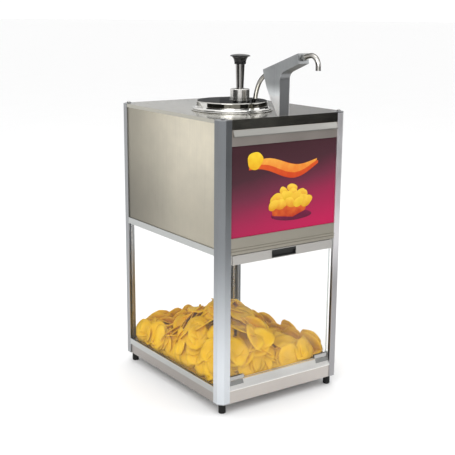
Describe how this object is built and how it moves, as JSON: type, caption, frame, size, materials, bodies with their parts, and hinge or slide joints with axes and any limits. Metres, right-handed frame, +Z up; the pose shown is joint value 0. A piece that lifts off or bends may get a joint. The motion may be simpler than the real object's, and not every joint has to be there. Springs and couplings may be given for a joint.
{
  "type": "heated condiment pump dispenser with chip bin",
  "caption": "Counter-top heated pump dispenser: plunger pump with an arm and spout over a lidded food well, sign panel in front, and a clear chip bin with a drop-down door below.",
  "frame": {"origin": "on the surface the feet stand on, under the centre of the whole object's box, from the spout at the front to the thermostat dial at the back", "axes": "+Z up, the door, sign and spout face -Y, and +X is to the right seen from the front"},
  "size_m": [0.348, 0.559, 0.8048],
  "materials": {
    "post_aluminium": "satin anodised extrusion",
    "rail_aluminium": "satin anodised extrusion",
    "sign_rail": "grey painted extrusion with a bright hood",
    "panel_steel": "brushed, warm grey",
    "cover_steel": "brushed, dark front fold",
    "pan_steel": "satin",
    "stainless": "satin",
    "polished_steel": "polished stainless",
    "arm_steel": "brushed",
    "plated_steel": "zinc plated",
    "heater_band": "heat-tinted",
    "sign_print": "printed translucent sheet, purple to magenta",
    "clear_sheet": "clear",
    "black_rubber": "matte",
    "seal_rubber": "matte",
    "black_plastic": "moulded, fine grain",
    "knob_black": "moulded, semi-gloss",
    "white_plastic": "machined",
    "white_porcelain": "moulded",
    "lamp_glass": "frosted",
    "amber_lens": "clear lens",
    "red_plastic": "moulded"
  },
  "bodies": {
    "cabinet": {"post_front_left": "post_aluminium", "post_front_right": "post_aluminium", "post_rear_left": "post_aluminium", "post_rear_right": "post_aluminium", "post_caps": "post_aluminium", "cap_nuts": "plated_steel", "tie_rods": "plated_steel", "feet": "black_rubber", "base_pan": "pan_steel", "front_ledge": "rail_aluminium", "low_side_rails": "rail_aluminium", "low_rail_rear": "rail_aluminium", "mid_side_rails": "rail_aluminium", "mid_rail_rear": "rail_aluminium", "sign_bottom_rail": "sign_rail", "sign_top_rail": "sign_rail", "sign_panel": "sign_print", "clear_side_panels": "clear_sheet", "clear_panel_rear": "clear_sheet", "side_panel_left": "panel_steel", "side_panel_right": "panel_steel", "rear_panel": "panel_steel", "top_cover": "cover_steel", "shelf_pan": "pan_steel", "door_catches": "plated_steel", "hinge_brackets": "plated_steel", "lampholder": "white_porcelain", "sign_lamp": "lamp_glass", "well_vessel": "stainless", "well_heater": "heater_band", "food_jar": "stainless", "thermostat_body": "black_plastic", "switch_housing": "black_plastic", "pilot_light": "amber_lens", "cord_gland": "black_plastic"},
    "pump": {"pump_lid": "polished_steel", "pump_cylinder": "stainless", "lock_collar": "polished_steel", "valve_body": "stainless", "tube_gland": "polished_steel", "discharge_tube": "polished_steel", "arm_shell": "arm_steel", "arm_front_plate": "arm_steel", "spout_nut": "plated_steel", "spout": "polished_steel", "return_spring": "stainless"},
    "plunger": {"knob": "knob_black", "plunger_tube": "polished_steel", "piston_rod": "stainless", "piston": "white_plastic", "piston_seal": "seal_rubber"},
    "door": {"door_panel": "clear_sheet", "door_top_rail": "rail_aluminium", "door_pull": "black_plastic", "door_shoes": "plated_steel"},
    "thermostat_dial": {"thermostat_shaft": "plated_steel", "thermostat_knob": "black_plastic"},
    "rocker": {"switch_rocker": "red_plastic"},
    "inlet_valve": {"inlet_ball": "polished_steel"},
    "outlet_valve": {"outlet_ball": "polished_steel"}
  },
  "joints": [
    {"name": "pump_lift", "type": "slide", "parent": "cabinet", "child": "pump", "axis": [0, 0, 1], "range_m": [0, 0.2]},
    {"name": "plunger_stroke", "type": "slide", "parent": "pump", "child": "plunger", "axis": [0, 0, -1], "range_m": [0, 0.055], "stiffness_N_per_m": 300, "springref_m": -0.03, "deforming": ["return_spring"]},
    {"name": "door_hinge", "type": "hinge", "parent": "cabinet", "child": "door", "pos_m": [0, -0.16348, 0.082], "axis": [1, 0, 0], "range_deg": [0, 90]},
    {"name": "thermostat_turn", "type": "hinge", "parent": "cabinet", "child": "thermostat_dial", "pos_m": [-0.08, 0.27052, 0.554], "axis": [0, 1, 0], "range_deg": [0, 270]},
    {"name": "rocker_tip", "type": "hinge", "parent": "cabinet", "child": "rocker", "pos_m": [0, 0.25447, 0.554], "axis": [1, 0, 0], "range_deg": [0, 16]},
    {"name": "inlet_lift", "type": "slide", "parent": "pump", "child": "inlet_valve", "axis": [0, 0, 1], "range_m": [0, 0.003]},
    {"name": "outlet_lift", "type": "slide", "parent": "pump", "child": "outlet_valve", "axis": [0, 0, 1], "range_m": [0, 0.003]}
  ]
}
